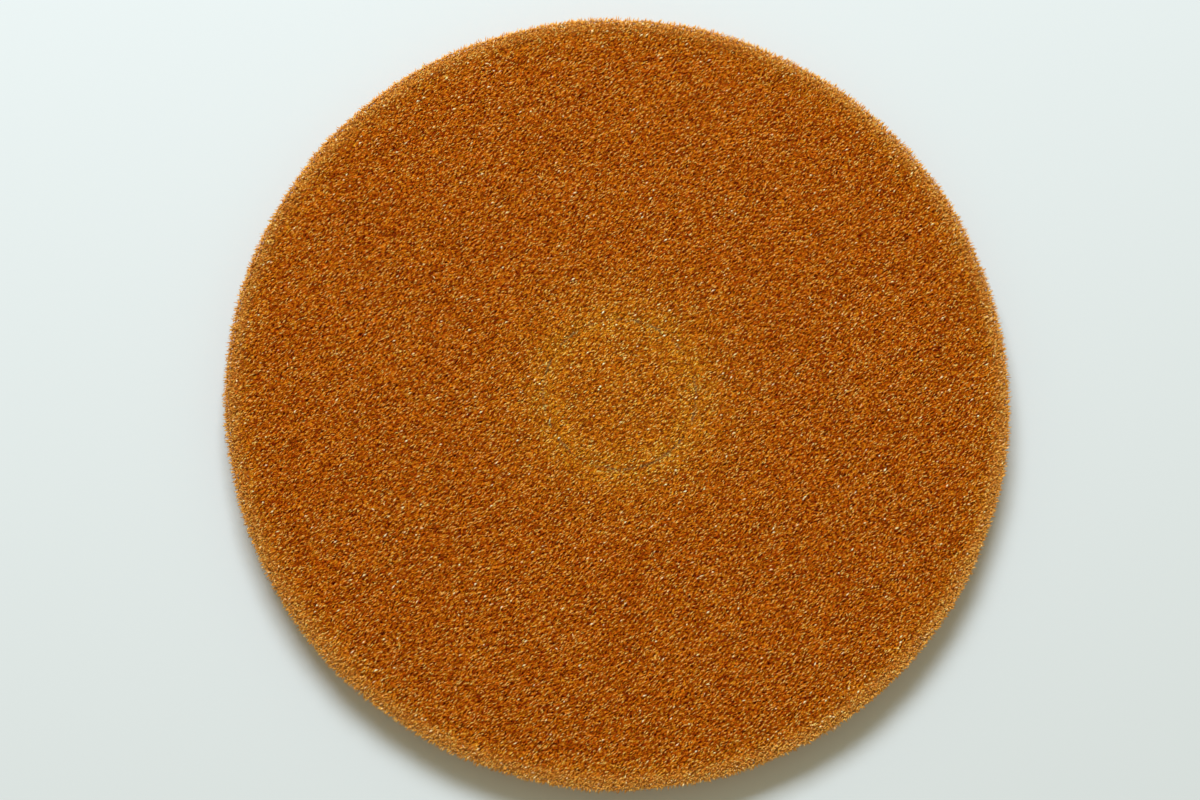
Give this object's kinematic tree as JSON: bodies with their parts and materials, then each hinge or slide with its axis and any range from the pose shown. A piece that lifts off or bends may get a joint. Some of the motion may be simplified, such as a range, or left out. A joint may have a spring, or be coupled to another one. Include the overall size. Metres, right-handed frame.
{
  "type": "floor polishing pad",
  "caption": "Round tan floor polishing pad of curled nylon fibre with a die-cut centre plug, soft upper shoulder and slightly leaning cut edge.",
  "frame": {"origin": "middle of the underside, on the surface the pad lies on", "axes": "+Z along the pad's axis, out of the face that was pictured; +X to the right and +Y up as the picture shows that face"},
  "size_m": [0.4318, 0.4315, 0.02],
  "materials": {
    "nylon_web": "matte"
  },
  "bodies": {
    "root": {"floor_pad": "nylon_web"}
  },
  "joints": []
}
